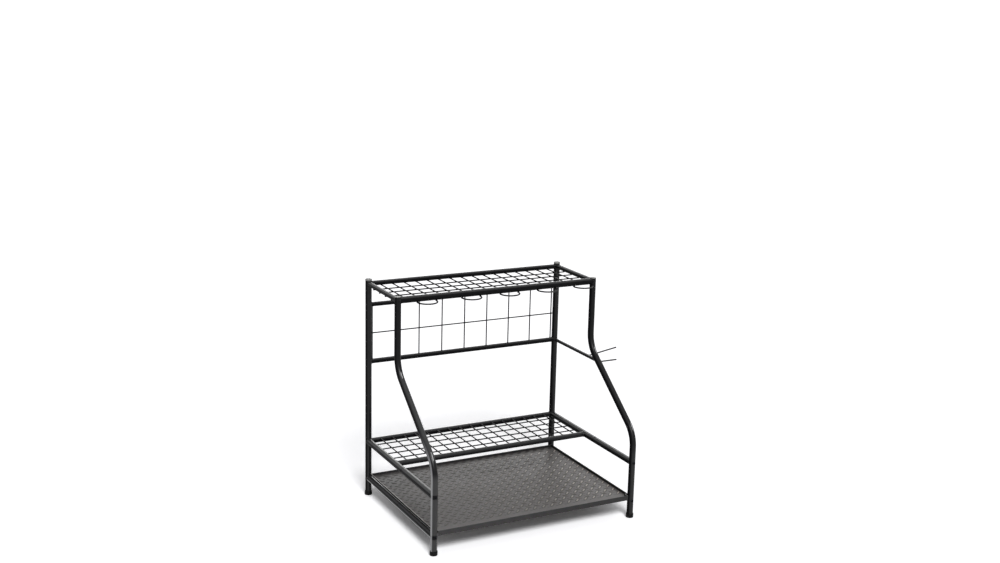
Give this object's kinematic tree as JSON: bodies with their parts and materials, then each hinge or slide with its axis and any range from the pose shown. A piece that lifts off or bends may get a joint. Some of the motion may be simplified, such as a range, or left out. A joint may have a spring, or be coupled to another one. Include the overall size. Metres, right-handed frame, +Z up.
{
  "type": "freestanding garden tool rack",
  "caption": "Freestanding black steel rack for garden tools: bent front tubes, upper and lower wire grids, tool loops, side hooks, back panel and a tread-plate tray.",
  "frame": {"origin": "on the floor, under the middle of the rack's bounding box with the side hooks included", "axes": "+X to the right along the front, +Y to the back, +Z up"},
  "size_m": [1.0246, 0.683, 0.92],
  "materials": {
    "frame_paint": "satin black powder coat",
    "tray_plate": "dull grey-brown coat over tread plate",
    "foot_rubber": "matt",
    "closure_plastic": "fine grain",
    "fastener_steel": "black oxide"
  },
  "bodies": {
    "root": {"back_panel_cross_wire": "frame_paint", "back_panel_upright_wires": "frame_paint", "foot_front_left": "foot_rubber", "foot_front_right": "foot_rubber", "foot_rear_left": "foot_rubber", "foot_rear_right": "foot_rubber", "front_tube_left": "frame_paint", "front_tube_plug_left": "closure_plastic", "front_tube_plug_right": "closure_plastic", "front_tube_right": "frame_paint", "leg_bolts": "fastener_steel", "middle_rail_inserts": "fastener_steel", "middle_side_rail_front_left": "frame_paint", "middle_side_rail_front_right": "frame_paint", "middle_side_rail_rear_left": "frame_paint", "middle_side_rail_rear_right": "frame_paint", "rear_upright_cap_left": "closure_plastic", "rear_upright_cap_right": "closure_plastic", "rear_upright_left": "frame_paint", "rear_upright_right": "frame_paint", "second_rear_rail": "frame_paint", "shelf_front_rail": "frame_paint", "shelf_grid_long_wires": "frame_paint", "shelf_grid_short_wires": "frame_paint", "shelf_rear_rail": "frame_paint", "side_hook_front": "frame_paint", "side_hook_rail": "frame_paint", "side_hook_rear": "frame_paint", "third_rear_rail": "frame_paint", "tool_loop_far_left": "frame_paint", "tool_loop_far_right": "frame_paint", "tool_loop_left": "frame_paint", "tool_loop_middle": "frame_paint", "tool_loop_right": "frame_paint", "top_front_rail": "frame_paint", "top_grid_long_wires": "frame_paint", "top_grid_short_wires": "frame_paint", "top_rear_rail": "frame_paint", "top_side_rail_left": "frame_paint", "top_side_rail_right": "frame_paint", "tray": "tray_plate", "tray_rail_inserts": "fastener_steel", "tray_side_rail_front_left": "frame_paint", "tray_side_rail_front_right": "frame_paint", "tray_side_rail_rear_left": "frame_paint", "tray_side_rail_rear_right": "frame_paint"}
  },
  "joints": []
}
